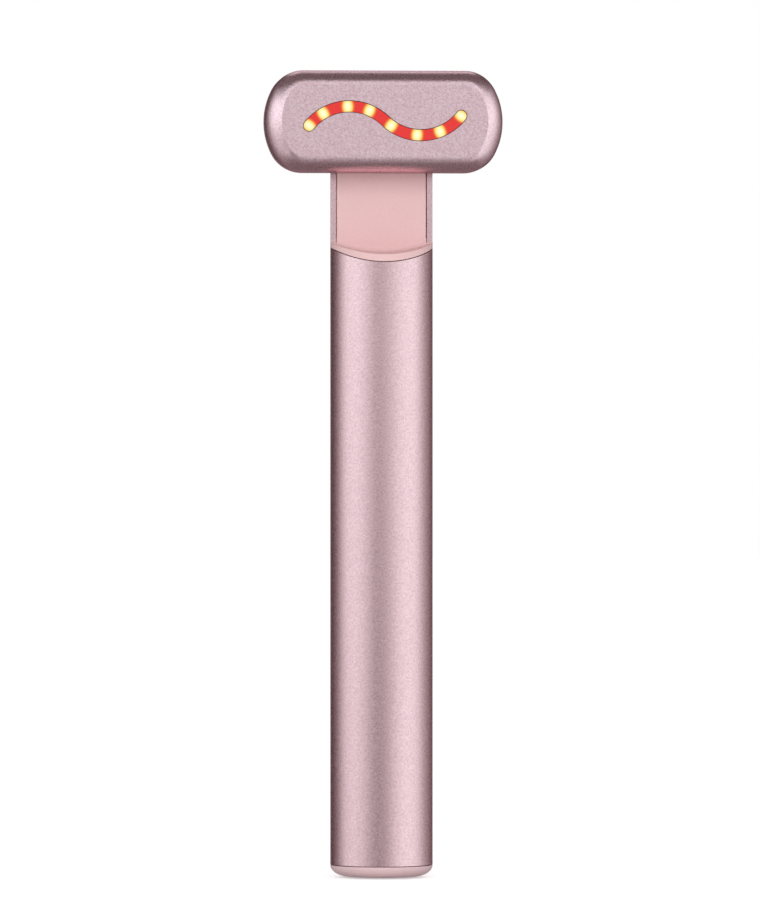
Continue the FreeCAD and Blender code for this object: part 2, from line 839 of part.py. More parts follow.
def cap_body():
    """Round body of the end cap, turned from a profile with a rounded foot."""
    foot = handle_radius - cap_round_width
    curve = Part.BezierCurve()
    curve.setPoles([
        Vector(foot, 0, 0),
        Vector(foot + cap_round_width * quarter_round_share, 0, 0),
        Vector(handle_radius, 0, cap_lip_height * (1 - quarter_round_share)),
        Vector(handle_radius, 0, cap_lip_height),
    ])
    inner = cap_plug_radius - cap_plug_wall
    corners = [
        Vector(handle_radius, 0, cap_lip_height),
        Vector(cap_plug_radius, 0, cap_lip_height),
        Vector(cap_plug_radius, 0, cap_plug_top),
        Vector(inner, 0, cap_plug_top),
        Vector(inner, 0, cap_floor),
        Vector(0, 0, cap_floor),
        Vector(0, 0, 0),
        Vector(foot, 0, 0),
    ]
    lines = [line_edge(start, end) for start, end in zip(corners, corners[1:])]
    profile = Part.Face(Part.Wire([curve.toShape()] + lines))
    return profile.revolve(Vector(0, 0, 0), Vector(0, 0, 1), 360)


def end_cap():
    """Plastic cap with a rounded foot, a grooved plug that fits the tube, and the charging opening."""
    room = 2 * slide_clearance
    top = cap_plug_top + overrun
    port = pill_z(port_width + room, port_thickness + room, -overrun, top)
    low, high = Vector(0, light_pipe_offset, -overrun), Vector(0, light_pipe_offset, top)
    pipe_hole = rod(light_pipe_radius + seat_clearance, low, high)
    led_reach = charge_led_size / 2 + slide_clearance
    led_foot = cap_plug_top - charge_led_height - slide_clearance
    led_low = (-led_reach, light_pipe_offset - led_reach, led_foot)
    led_room = box(led_low, (led_reach, light_pipe_offset + led_reach, top))
    half = seal_radius + seat_clearance
    groove = rod_z(handle_radius, seal_z - half, seal_z + half)
    groove = groove.cut(rod_z(bore_radius - 2 * half - seat_clearance, seal_z - overrun, seal_z + overrun))
    return one_solid(cap_body().cut([port, pipe_hole, led_room, groove]))


def cap_seal():
    """Rubber ring that seals and holds the end cap's plug in the tube."""
    return Part.makeTorus(bore_radius - seal_radius - seat_clearance, seal_radius, Vector(0, 0, seal_z))


def port_shell():
    """Metal shell of the charging socket, open towards the foot."""
    shell = pill_z(port_width, port_thickness, port_recess, cap_plug_top)
    width, thickness = port_width - 2 * port_wall, port_thickness - 2 * port_wall
    return one_solid(shell.cut(pill_z(width, thickness, port_recess - overrun, cap_plug_top - port_back)))


def port_tongue():
    """Contact tongue inside the charging socket."""
    x, y = tongue_width / 2, tongue_thickness / 2
    return box((-x, -y, port_recess + tongue_recess), (x, y, cap_plug_top - port_back))


def charge_light_pipe():
    """Clear rod that carries the charging light to the foot."""
    low, high = seat_clearance, cap_plug_top - charge_led_height - slide_clearance
    return rod(light_pipe_radius, Vector(0, light_pipe_offset, low), Vector(0, light_pipe_offset, high))


def charge_led():
    """Charging light under the charge board."""
    half = charge_led_size / 2
    low = (-half, light_pipe_offset - half, cap_plug_top - charge_led_height)
    return box(low, (half, light_pipe_offset + half, cap_plug_top))


def charge_board():
    """Round board that sits on the end cap's plug and carries the charging socket."""
    return rod_z(cap_plug_radius - charge_board_margin, cap_plug_top, charge_board_top)


# Chassis, battery and main board


def chassis():
    """Half-round trough between the end cap and the neck, with a bulkhead at each end of cell and board."""
    solid = rod_z(chassis_radius, charge_board_top, board_top)
    hollow = rod_z(trough_radius, charge_board_top - overrun, board_top + overrun)
    frame = solid.cut(hollow).common(front_half(charge_board_top, board_top))
    lows = (charge_board_top, board_bottom, board_top - bulkhead_thickness)
    frame = frame.fuse([solid.common(front_half(low, low + bulkhead_thickness)) for low in lows])
    depth = board_screw_length - main_board_thickness + slide_clearance
    for x, z in board_screw_places:
        frame = frame.cut(rod_y(board_screw_radius + seat_clearance, -depth, overrun, x, z))
    return one_solid(frame)


def battery_cell():
    """Round rechargeable cell in the trough, as long as the handle leaves room for."""
    cell = rod_z(battery_radius, battery_bottom, battery_top)
    ends = [edge for edge in cell.Edges if edge.BoundBox.ZLength < match_tolerance]
    return cell.makeFillet(battery_end_round, ends)


def battery_tabs():
    """Nickel strips on the two ends of the cell."""
    x, y = tab_width / 2, battery_radius * tab_length_share
    lows = (battery_bottom - tab_sheet, battery_top)
    return Part.makeCompound([box((-x, -y, low), (x, y, low + tab_sheet)) for low in lows])


def battery_pad():
    """Foam strip between the cell and the tube, opposite the trough and beside the charging lead."""
    half = (battery_top - battery_bottom) * pad_length_share / 2
    middle = (battery_top + battery_bottom) / 2
    low, high = middle - half, middle + half
    ring = rod_z(bore_radius - seat_clearance, low, high)
    ring = ring.cut(rod_z(battery_radius + seat_clearance, low - overrun, high + overrun))
    start = charge_lead_radius + slide_clearance
    return one_solid(ring.common(box((start, 0, low), (start + pad_width, handle_radius, high))))


def main_board():
    """Control board that lies on the rims of the trough."""
    half = trough_radius + main_board_bearing
    board = box((-half, 0, board_bottom), (half, main_board_thickness, board_top))
    far = main_board_thickness + overrun
    for x, z in board_screw_places:
        board = board.cut(rod_y(board_screw_radius + slide_clearance, -overrun, far, x, z))
    return one_solid(board)


def board_screws():
    """Two slotted screws that hold the main board on the chassis."""
    size = (board_screw_head_radius, board_screw_head_height)
    under_head = main_board_thickness
    sizes = (size, board_screw_radius, under_head, under_head - board_screw_length)
    return Part.makeCompound([slotted_screw(place, *sizes) for place in board_screw_places])


def board_chips():
    """Controller, driver and charger chips on the main board's front face."""
    low = board_bottom + bulkhead_thickness
    span = board_top - bulkhead_thickness - low
    chips = []
    for size_share, place_share in zip(chip_size_shares, chip_place_shares):
        half = trough_radius * size_share / 2
        z = low + span * place_share
        chips.append(box((-half, -chip_height, z - half), (half, 0, z + half)))
    return Part.makeCompound(chips)


def tube_contact():
    """Sprung strip that joins the main board to the metal handle."""
    half = tube_contact_size / 2
    low = board_bottom + charge_lead_landing + tube_contact_gap
    high = low + tube_contact_size
    top = bore_radius - slide_clearance
    foot = box((-half, main_board_thickness, low), (half, main_board_thickness + contact_sheet, high))
    riser = box((-half / 2, main_board_thickness, low), (half / 2, top, low + contact_sheet))
    tip = box((-half / 2, top - contact_sheet, low), (half / 2, top, high))
    return one_solid(foot.fuse([riser, tip]))


# Power button


def curved_disc(radius, outer, inner):
    """Round piece along Y at the button's place, between two radii around the handle's axis."""
    low, high = button_z - radius - overrun, button_z + radius + overrun
    blank = rod_y(radius, 0, handle_diameter, z=button_z).common(rod_z(outer, low, high))
    return blank.cut(rod_z(inner, low - overrun, high + overrun))


def power_button():
    """Round button that follows the handle's curve, with an inner flange and a stem to the switch."""
    flange_outer = bore_radius - slide_clearance
    flange_inner = flange_outer - button_flange_thickness
    proud = handle_radius + button_proud
    cap = curved_disc(button_radius, proud, flange_inner)
    high = [edge for edge in cap.Edges if edge.BoundBox.YMax > handle_radius]
    rim = [edge for edge in high if edge.BoundBox.XLength > button_radius]
    cap = cap.makeFillet(button_edge_round, rim)
    flange = curved_disc(button_radius + button_flange_width, flange_outer, flange_inner)
    stem = rod_y(button_stem_radius, plunger_tip_y, flange_inner + seat_clearance, z=button_z)
    return one_solid(cap.fuse([flange, stem]))


def tact_switch():
    """Switch body on the main board, with the plunger's hole."""
    half = switch_size / 2
    body = box((-half, main_board_thickness, button_z - half), (half, switch_face_y, button_z + half))
    floor = main_board_thickness + switch_height / 2
    hole = rod_y(plunger_radius + running_clearance, floor, switch_face_y + overrun, z=button_z)
    return one_solid(body.cut(hole))


def switch_plunger():
    """Switch plunger, pressed by the button's stem."""
    low = main_board_thickness + switch_height / 2 + button_travel + running_clearance
    return rod_y(plunger_radius, low, plunger_tip_y, z=button_z)


# Leads


def lead_along(points, radius, bend):
    """Round lead along straight runs that are joined by tangent arcs."""
    edges = []
    here = points[0]
    for before, corner, after in zip(points, points[1:], points[2:]):
        come = (corner - before).normalize()
        leave = (after - corner).normalize()
        half_turn = come.getAngle(leave) / 2
        start = corner - come * bend * math.tan(half_turn)
        end = corner + leave * bend * math.tan(half_turn)
        inward = (leave - come).normalize()
        middle = corner + inward * (bend / math.cos(half_turn) - bend)
        edges += [line_edge(here, start), Part.Arc(start, middle, end).toShape()]
        here = end
    edges.append(line_edge(here, points[-1]))
    profile = Part.Wire(Part.Circle(points[0], points[1] - points[0], radius).toShape())
    return Part.Wire(edges).makePipeShell([profile], True, True)


def board_socket():
    """Socket for the head's lead, on the main board above the button."""
    half = socket_width / 2
    height = 2 * (lead_board_y - main_board_thickness)
    low = (-half, main_board_thickness, socket_top - socket_length)
    return box(low, (half, main_board_thickness + height, socket_top))


def handle_lead():
    """Lead from the hollow post, down behind the neck plate, to the main board's socket."""
    start_y = post_end_y + seat_clearance
    points = [
        Vector(0, start_y, pivot_height),
        Vector(0, lead_down_y, pivot_height),
        Vector(0, lead_down_y, socket_top + 2 * handle_lead_run),
        Vector(0, lead_board_y, socket_top + handle_lead_run),
        Vector(0, lead_board_y, socket_top),
    ]
    return lead_along(points, head_lead_radius, (lead_down_y - start_y) * lead_bend_share)


def charge_lead():
    """Lead from the charge board, past the cell, to the main board."""
    past_y = (battery_radius + bore_radius) / 2
    top = board_bottom + charge_lead_landing
    points = [
        Vector(0, past_y, charge_board_top),
        Vector(0, past_y, top),
        Vector(0, main_board_thickness, top),
    ]
    return lead_along(points, charge_lead_radius, charge_lead_bend)


PIECES = (
    handle_tube, neck_insert, end_cap, cap_seal, port_shell, port_tongue, charge_light_pipe, charge_led,
    charge_board, chassis, battery_cell, battery_tabs, battery_pad, main_board, board_screws, board_chips,
    tube_contact, tact_switch, switch_plunger, power_button, board_socket, handle_lead, charge_lead,
    swivel_bush, swivel_post, thrust_washer, spring_washer, retaining_clip, stop_pin,
    head_face, head_gasket, head_back, head_screws, light_lens, light_board, red_leds, heater_film,
    heat_sensor, face_contact, head_plug, head_lead,
    vibration_motor, motor_boot, motor_shaft, eccentric_weight,
)


def main():
    """Writes each piece to its own file, named after it."""
    os.makedirs("parts", exist_ok=True)
    for piece in PIECES:
        piece().exportStep(f"parts/{piece.__name__}.step")


main()
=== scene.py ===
"""Looks of the skin-care light wand: a material for every piece, a plain light studio and the camera."""
import bmesh
import bpy
import math
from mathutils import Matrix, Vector


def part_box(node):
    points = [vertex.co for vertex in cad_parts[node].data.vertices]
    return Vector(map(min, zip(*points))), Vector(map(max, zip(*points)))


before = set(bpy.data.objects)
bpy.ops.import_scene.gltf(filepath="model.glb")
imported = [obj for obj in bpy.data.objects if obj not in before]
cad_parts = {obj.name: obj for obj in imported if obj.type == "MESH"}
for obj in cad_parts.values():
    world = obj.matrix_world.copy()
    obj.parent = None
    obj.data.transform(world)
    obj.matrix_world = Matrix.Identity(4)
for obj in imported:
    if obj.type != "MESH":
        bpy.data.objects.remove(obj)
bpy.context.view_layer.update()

# Camera, level with the middle of the wand and a little to its left
image_height_px = 910
focal_px = 7393
sensor_size_mm = 36
camera_distance = 1.3
camera_height = 0.07405
camera_yaw_deg = 4.0
camera_side = -0.00026

# Lamp, floor, and the wall, ceiling and ground that only reflections see
ambient_strength = 0.60
key_power = 16.2
key_size = 1.2
key_place = (-0.1, -1.6, 0.35)
floor_half_size = 4.0
floor_drop = 0.0002
floor_tone = (0.90, 0.90, 0.90, 1.0)
floor_lift = 0.48
wall_radius = 2.0
wall_low = -1.05
wall_high = 1.15
wall_segments = 96
wall_turn_deg = -1.0
wall_tone_heights = (-0.3, 0.4)
overhead_tone = 0.155
overhead_back = 0.55
overhead_gap_side = 0.5
underfoot_tone = 0.195
underfoot_side = 1.1
apron_tone = 0.31
apron_drop = 0.02
shade_warmth = 1.15

# Levels around the wall: degrees from its front, with the level low down and high up
wall_tones = [
    (-180, 0.50, 0.50), (-150, 0.10, 0.05), (-120, 0.25, 0.30), (-90, 0.65, 1.25), (-65, 0.75, 1.30),
    (-45, 0.55, 1.25), (-15, 0.15, 0.85), (5, 0.25, 0.90), (35, 0.90, 1.00), (55, 1.05, 1.10),
    (80, 0.90, 1.20), (110, 0.40, 0.55), (150, 0.20, 0.15), (180, 0.50, 0.50),
]

# Colours in linear red, green and blue
rose_gold = (0.84, 0.615, 0.665)
# The head's metal is the handle's rose gold painted lighter, a painted brightening for the dark studio
# front that the face mirrors
head_gold_painted_lighter = (0.99, 0.68, 0.745)
edge_tint = (0.62, 0.46, 0.48)
shell_tint = (0.45, 0.28, 0.30)
blush = (0.80, 0.53, 0.53)
cap_blush = (0.77, 0.555, 0.575)
lens_body = (0.10, 0.006, 0.006)
# Colours of the glow painted on the light guide's front as emission, from a spot's bright core out to red
glow_core = (1.0, 0.98, 0.84)
glow_pale = (1.0, 0.94, 0.44)
glow_yellow = (0.92, 0.72, 0.18)
glow_warm = (0.84, 0.40, 0.06)
glow_edge = (0.74, 0.14, 0.02)
glow_red = (0.68, 0.020, 0.015)
led_resin = (0.85, 0.74, 0.38)
clear_tint = (0.92, 0.94, 0.96)
silicone_grey = (0.30, 0.29, 0.29)
foam_grey = (0.22, 0.22, 0.23)
steel_grey = (0.58, 0.58, 0.60)
sintered_grey = (0.34, 0.33, 0.32)
brass_yellow = (0.80, 0.60, 0.28)
nylon_white = (0.78, 0.77, 0.73)
board_green = (0.015, 0.15, 0.07)
trace_green = (0.05, 0.27, 0.13)
plastic_black = (0.022, 0.022, 0.024)
sleeve_blue = (0.05, 0.13, 0.32)
film_amber = (0.60, 0.28, 0.05)
film_track = (0.33, 0.14, 0.04)
jacket_grey = (0.10, 0.10, 0.11)

# Grain of the surfaces, with the middle range that holds most values of a noise
noise_middle = (0.3, 0.7)
satin_grain = 0.00036
blasted_grain = 0.00026
drawn_grain = 0.0002
machined_grain = 0.00025
moulded_grain = 0.0003
soft_grain = 0.0004
film_grain = 0.0005
board_grain = 0.0006
sleeve_grain = 0.0012

# Depth of the surfaces' relief
glossy_relief = 0.000004
smooth_relief = 0.000006
machined_relief = 0.000008
moulded_relief = 0.00001
satin_relief = 0.00002
sintered_relief = 0.00003
blasted_relief = 0.00004
foam_relief = 0.0001
cell_relief = 0.0002

# Patterns, with the radians that a wave texture runs through in one unit
wave_radians = 20
ring_pitch = 0.00035
foam_cell = 0.00045
board_track_pitch = 0.0038
board_track_share = 0.03
heater_track_pitch = 0.001
heater_track_edge = (0.42, 0.58)

# Blend of the treatment face into its long sides and corners, which sets in at some height off its middle
blend_radius = 0.0018
blend_reach = (0.0046, 0.0060)
blend_samples = 16

# Glow of the light wave, painted on the light guide's front as emission: half the length and width of a
# spot, and the depth of the front where the glow is painted
glow_half_length = 0.00159
glow_half_width = 0.00240
glow_front_depth = 0.00005

# Corners of a mesh that are nearer than this are one
weld_distance = 0.00001


def node(tree, kind, **settings):
    """New node with its settings."""
    made = tree.nodes.new(kind)
    for key, value in settings.items():
        setattr(made, key, value)
    return made


def place(tree):
    """Where a point lies on the piece, in metres."""
    return node(tree, "ShaderNodeTexCoord").outputs["Object"]


def noise(tree, size, detail=2.0):
    """Noise whose grains are about as large as given."""
    texture = node(tree, "ShaderNodeTexNoise")
    texture.inputs["Scale"].default_value = 1 / size
    texture.inputs["Detail"].default_value = detail
    tree.links.new(place(tree), texture.inputs["Vector"])
    return texture.outputs["Fac"]


def wave_scale(pitch):
    """Scale at which a wave texture repeats at a pitch."""
    return 2 * math.pi / (wave_radians * pitch)


def tone(colour, share=1.0):
    """Colour brought up or down by a share, with full alpha."""
    return tuple(min(part * share, 1.0) for part in colour) + (1.0,)


def ramp(tree, factor, stops):
    """Colour that runs through stops, each a place from 0 to 1 with its colour."""
    made = node(tree, "ShaderNodeValToRGB")
    tree.links.new(factor, made.inputs["Fac"])
    steps = made.color_ramp.elements
    for index, (where, colour) in enumerate(stops):
        step = steps[index] if index < len(steps) else steps.new(where)
        step.position = where
        step.color = colour
    return made.outputs["Color"]


def spread(tree, factor, low, high, ends=noise_middle):
    """A factor's middle range stretched between two values."""
    made = node(tree, "ShaderNodeMapRange")
    made.inputs["From Min"].default_value, made.inputs["From Max"].default_value = ends
    made.inputs["To Min"].default_value = low
    made.inputs["To Max"].default_value = high
    tree.links.new(factor, made.inputs["Value"])
    return made.outputs["Result"]


def relief(tree, shader, height, depth, strength):
    """Bump from a height, as deep as given, on top of any earlier bump."""
    made = node(tree, "ShaderNodeBump")
    for earlier in shader.inputs["Normal"].links:
        tree.links.new(earlier.from_socket, made.inputs["Normal"])
    made.inputs["Distance"].default_value = depth
    made.inputs["Strength"].default_value = strength
    tree.links.new(height, made.inputs["Height"])
    tree.links.new(made.outputs["Normal"], shader.inputs["Normal"])


def distance_from(tree, value, constant):
    """How far a value is from a constant."""
    apart = node(tree, "ShaderNodeMath", operation="SUBTRACT")
    tree.links.new(value, apart.inputs[0])
    apart.inputs[1].default_value = constant
    size = node(tree, "ShaderNodeMath", operation="ABSOLUTE")
    tree.links.new(apart.outputs["Value"], size.inputs[0])
    return size.outputs["Value"]


def surface(name, colour, roughness, grain, depth, metallic=0.0, mottle=0.05, strength=0.4):
    """Material with grain in its colour, gloss and relief: grain size and depth in metres."""
    material = bpy.data.materials.new(name)
    material.use_nodes = True
    tree = material.node_tree
    shader = tree.nodes["Principled BSDF"]
    shader.inputs["Metallic"].default_value = metallic
    fine = noise(tree, grain)
    dark, light = noise_middle
    stops = [(dark, tone(colour, 1 - mottle)), (light, tone(colour, 1 + mottle))]
    tree.links.new(ramp(tree, fine, stops), shader.inputs["Base Color"])
    low, high = roughness
    tree.links.new(spread(tree, noise(tree, 2 * grain), low, high), shader.inputs["Roughness"])
    relief(tree, shader, fine, depth, strength)
    return material, tree, shader


# Outer materials


def tube_metal():
    """Satin rose-gold metal of the handle."""
    gloss = (0.24, 0.32)
    material, _, shader = surface(
        "tube_metal", rose_gold, gloss, satin_grain, satin_relief, metallic=1.0, mottle=0.13)
    shader.inputs["Specular Tint"].default_value = tone(edge_tint)
    return material


def blasted_metal(name):
    """Blasted rose-gold metal with a fine sparkle, its colour painted lighter than the handle's rose gold
    to make up for the dark studio front that it mirrors.
    """
    gloss = (0.26, 0.34)
    material, tree, shader = surface(
        name, head_gold_painted_lighter, gloss, blasted_grain, blasted_relief, metallic=1.0, mottle=0.21)
    shader.inputs["Specular Tint"].default_value = tone(shell_tint)
    return material, tree, shader


def shell_metal():
    """Metal of the head's rear shell."""
    return blasted_metal("shell_metal")[0]


def face_metal():
    """Metal of the treatment shell, whose flat front blends into its rounded long sides and corners."""
    material, tree, shader = blasted_metal("face_metal")
    low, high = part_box("head_face")
    parts = node(tree, "ShaderNodeSeparateXYZ")
    tree.links.new(place(tree), parts.inputs["Vector"])
    up = distance_from(tree, parts.outputs["Z"], (low.z + high.z) / 2)
    rounded = node(tree, "ShaderNodeBevel", samples=blend_samples)
    tree.links.new(spread(tree, up, 0, blend_radius, blend_reach), rounded.inputs["Radius"])
    grain = shader.inputs["Normal"].links[0].from_node
    tree.links.new(rounded.outputs["Normal"], grain.inputs["Normal"])
    return material


def button_metal():
    """Turned metal of the button, with fine rings around its middle."""
    gloss = (0.22, 0.30)
    material, tree, shader = surface(
        "button_metal", rose_gold, gloss, drawn_grain, moulded_relief, metallic=1.0)
    low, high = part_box("power_button")
    shift = node(tree, "ShaderNodeMapping", vector_type="POINT")
    shift.inputs["Location"].default_value = -(low + high) / 2
    tree.links.new(place(tree), shift.inputs["Vector"])
    rings = node(tree, "ShaderNodeTexWave", wave_type="RINGS", rings_direction="Y")
    rings.inputs["Scale"].default_value = wave_scale(ring_pitch)
    tree.links.new(shift.outputs["Vector"], rings.inputs["Vector"])
    relief(tree, shader, rings.outputs["Fac"], satin_relief, strength=0.5)
    return material


def insert_plastic():
    """Moulded pink plastic of the neck."""
    return surface("insert_plastic", blush, (0.36, 0.46), moulded_grain, smooth_relief, mottle=0.02)[0]


def cap_plastic():
    """Moulded pink plastic of the foot."""
    return surface("cap_plastic", cap_blush, (0.34, 0.44), moulded_grain, smooth_relief, mottle=0.03)[0]


def separate_solids(name):
    """Corner points of each separate solid of a node."""
    whole = bmesh.new()
    whole.from_mesh(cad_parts[name].data)
    bmesh.ops.remove_doubles(whole, verts=whole.verts, dist=weld_distance)
    groups = []
    for first in whole.verts:
        if not first.tag:
            first.tag = True
            group = [first]
            for corner in group:
                near = [edge.other_vert(corner) for edge in corner.link_edges]
                fresh = [other for other in near if not other.tag]
                for other in fresh:
                    other.tag = True
                group += fresh
            groups.append([corner.co.copy() for corner in group])
    whole.free()
    return groups


def led_places():
    """Middle and heading of each light-emitting diode, from its solid."""
    places = []
    for group in separate_solids("red_leds"):
        middle = sum(group, Vector()) / len(group)
        offsets = [point - middle for point in group]
        mixed = sum(point.x * point.z for point in offsets)
        unlike = sum(point.x ** 2 - point.z ** 2 for point in offsets)
        places.append((middle, math.atan2(2 * mixed, unlike) / 2))
    return places


def vector_math(tree, operation, value, constant):
    """Vector operation between a linked value and a constant."""
    made = node(tree, "ShaderNodeVectorMath", operation=operation)
    tree.links.new(value, made.inputs[0])
    made.inputs[1].default_value = constant
    return made


def spot_distance(tree, where, middle, heading):
    """Distance from a diode's middle, 1 at the end of its spot along the wave."""
    offset = vector_math(tree, "SUBTRACT", where, middle).outputs["Vector"]
    along = Vector((math.cos(heading), 0, math.sin(heading))) / glow_half_length
    across = Vector((-math.sin(heading), 0, math.cos(heading))) / glow_half_width
    joined = node(tree, "ShaderNodeCombineXYZ")
    for axis, direction in (("X", along), ("Y", across)):
        product = vector_math(tree, "DOT_PRODUCT", offset, direction)
        tree.links.new(product.outputs["Value"], joined.inputs[axis])
    length = node(tree, "ShaderNodeVectorMath", operation="LENGTH")
    tree.links.new(joined.outputs["Vector"], length.inputs[0])
    return length.outputs["Value"]


def nearest(tree, values):
    """Smallest of several values."""
    least = values[0]
    for value in values[1:]:
        made = node(tree, "ShaderNodeMath", operation="MINIMUM")
        tree.links.new(least, made.inputs[0])
        tree.links.new(value, made.inputs[1])
        least = made.outputs["Value"]
    return least


def front_only(tree, where):
    """1 on the front of the light guide, where its glow is painted, and 0 on its sides and flange."""
    parts = node(tree, "ShaderNodeSeparateXYZ")
    tree.links.new(where, parts.inputs["Vector"])
    made = node(tree, "ShaderNodeMath", operation="LESS_THAN")
    tree.links.new(parts.outputs["Y"], made.inputs[0])
    made.inputs[1].default_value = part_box("light_lens")[0].y + glow_front_depth
    return made.outputs["Value"]


def lens_glow():
    """Red light guide with its glow painted on as emission, a bright spot over each diode, in place of
    light from the diodes behind it.
    """
    material, tree, shader = surface("lens_glow", lens_body, (0.16, 0.24), soft_grain, glossy_relief)
    where = place(tree)
    distance = nearest(tree, [spot_distance(tree, where, *spot) for spot in led_places()])
    stops = [
        (0.0, tone(glow_core)),
        (0.28, tone(glow_pale)),
        (0.47, tone(glow_yellow)),
        (0.57, tone(glow_warm)),
        (0.66, tone(glow_edge)),
        (0.82, tone(glow_red)),
    ]
    # Painted glow: the spots' colours given off as emission, on the guide's front only
    painted_glow = node(tree, "ShaderNodeVectorMath", operation="MULTIPLY")
    tree.links.new(ramp(tree, distance, stops), painted_glow.inputs[0])
    tree.links.new(front_only(tree, where), painted_glow.inputs[1])
    tree.links.new(painted_glow.outputs["Vector"], shader.inputs["Emission Color"])
    shader.inputs["Emission Strength"].default_value = 1.0
    return material


def clear_plastic():
    """Clear light pipe in the foot."""
    material, _, shader = surface("clear_plastic", clear_tint, (0.08, 0.16), moulded_grain, glossy_relief)
    shader.inputs["Transmission Weight"].default_value = 1.0
    return material


def port_steel():
    """Bright drawn steel of the charging socket."""
    return surface("port_steel", steel_grey, (0.20, 0.30), drawn_grain, smooth_relief, metallic=1.0)[0]


# Inner materials


def led_package():
    """Pale resin of the light-emitting diodes."""
    return surface("led_package", led_resin, (0.25, 0.40), drawn_grain, smooth_relief, mottle=0.08)[0]


def grey_silicone():
    """Matt silicone of the seals and the motor's boot."""
    return surface("grey_silicone", silicone_grey, (0.55, 0.70), soft_grain, satin_relief)[0]


def grey_foam():
    """Open foam with small cells."""
    gloss = (0.85, 0.95)
    material, tree, shader = surface("grey_foam", foam_grey, gloss, film_grain, foam_relief, mottle=0.15)
    cells = node(tree, "ShaderNodeTexVoronoi")
    cells.inputs["Scale"].default_value = 1 / foam_cell
    tree.links.new(place(tree), cells.inputs["Vector"])
    relief(tree, shader, cells.outputs["Distance"], cell_relief, strength=0.8)
    return material


def steel():
    """Plain machined steel of shafts, screws and strips."""
    gloss = (0.26, 0.40)
    return surface(
        "steel", steel_grey, gloss, machined_grain, machined_relief, metallic=1.0, mottle=0.06)[0]


def weight_metal():
    """Dull sintered metal of the eccentric weight."""
    gloss = (0.48, 0.62)
    return surface(
        "weight_metal", sintered_grey, gloss, moulded_grain, sintered_relief, metallic=1.0, mottle=0.12)[0]


def contact_brass():
    """Thin brass of the contact strips."""
    gloss = (0.25, 0.38)
    return surface(
        "contact_brass", brass_yellow, gloss, machined_grain, smooth_relief, metallic=1.0, mottle=0.06)[0]


def white_nylon():
    """Off-white moulded nylon."""
    return surface("white_nylon", nylon_white, (0.42, 0.55), soft_grain, moulded_relief, mottle=0.03)[0]


def circuit_board():
    """Green board with rows of paler tracks."""
    gloss = (0.30, 0.42)
    material, tree, shader = surface("circuit_board", board_green, gloss, board_grain, moulded_relief)
    tracks = node(tree, "ShaderNodeTexBrick")
    tracks.inputs["Scale"].default_value = 1 / board_track_pitch
    tracks.inputs["Mortar Size"].default_value = board_track_share
    for socket, colour in (("Color1", board_green), ("Color2", board_green), ("Mortar", trace_green)):
        tracks.inputs[socket].default_value = tone(colour)
    swap = node(tree, "ShaderNodeMapping")
    swap.inputs["Rotation"].default_value = (math.pi / 2, 0, 0)
    tree.links.new(place(tree), swap.inputs["Vector"])
    tree.links.new(swap.outputs["Vector"], tracks.inputs["Vector"])
    tree.links.new(tracks.outputs["Color"], shader.inputs["Base Color"])
    return material


def black_plastic():
    """Black moulded plastic of chips, connectors and the switch."""
    gloss = (0.40, 0.55)
    return surface("black_plastic", plastic_black, gloss, moulded_grain, moulded_relief, mottle=0.15)[0]


def cell_sleeve():
    """Shrunk blue sleeve of the cell."""
    return surface("cell_sleeve", sleeve_blue, (0.22, 0.34), sleeve_grain, satin_relief, mottle=0.06)[0]


def amber_film():
    """Amber film with a darker heating track."""
    material, tree, shader = surface("amber_film", film_amber, (0.24, 0.36), film_grain, smooth_relief)
    track = node(tree, "ShaderNodeTexWave", wave_type="BANDS", bands_direction="Z", wave_profile="SIN")
    track.inputs["Scale"].default_value = wave_scale(heater_track_pitch)
    tree.links.new(place(tree), track.inputs["Vector"])
    start, end = heater_track_edge
    stops = [(start, tone(film_amber)), (end, tone(film_track))]
    tree.links.new(ramp(tree, track.outputs["Fac"], stops), shader.inputs["Base Color"])
    return material


def lead_jacket():
    """Soft jacket of the inner leads."""
    return surface("lead_jacket", jacket_grey, (0.45, 0.58), soft_grain, moulded_relief, mottle=0.08)[0]


node_materials = {
    tube_metal: ["handle_tube"],
    face_metal: ["head_face"],
    shell_metal: ["head_back"],
    button_metal: ["power_button"],
    insert_plastic: ["neck_insert"],
    cap_plastic: ["end_cap"],
    lens_glow: ["light_lens"],
    clear_plastic: ["charge_light_pipe"],
    port_steel: ["port_shell"],
    led_package: ["red_leds", "charge_led"],
    grey_silicone: ["head_gasket", "motor_boot", "cap_seal"],
    grey_foam: ["battery_pad"],
    steel: ["swivel_post", "spring_washer", "retaining_clip", "stop_pin", "head_screws", "board_screws",
            "motor_shaft", "vibration_motor", "battery_tabs"],
    weight_metal: ["eccentric_weight"],
    contact_brass: ["face_contact", "tube_contact"],
    white_nylon: ["swivel_bush", "thrust_washer", "chassis"],
    circuit_board: ["light_board", "charge_board", "main_board"],
    black_plastic: ["board_chips", "tact_switch", "switch_plunger", "head_plug", "board_socket",
                    "port_tongue", "heat_sensor"],
    cell_sleeve: ["battery_cell"],
    amber_film: ["heater_film"],
    lead_jacket: ["head_lead", "handle_lead", "charge_lead"],
}


def dress_nodes():
    """Gives each CAD node its material."""
    for make, names in node_materials.items():
        material = make()
        for name in names:
            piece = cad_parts[name]
            for slot in piece.material_slots:
                slot.material = material


# Studio


def stage_mesh(name, points, faces, material):
    """Stage object from points and faces."""
    mesh = bpy.data.meshes.new(name)
    mesh.from_pydata(points, [], faces)
    mesh.materials.append(material)
    made = bpy.data.objects.new(name, mesh)
    bpy.context.scene.collection.objects.link(made)
    return made


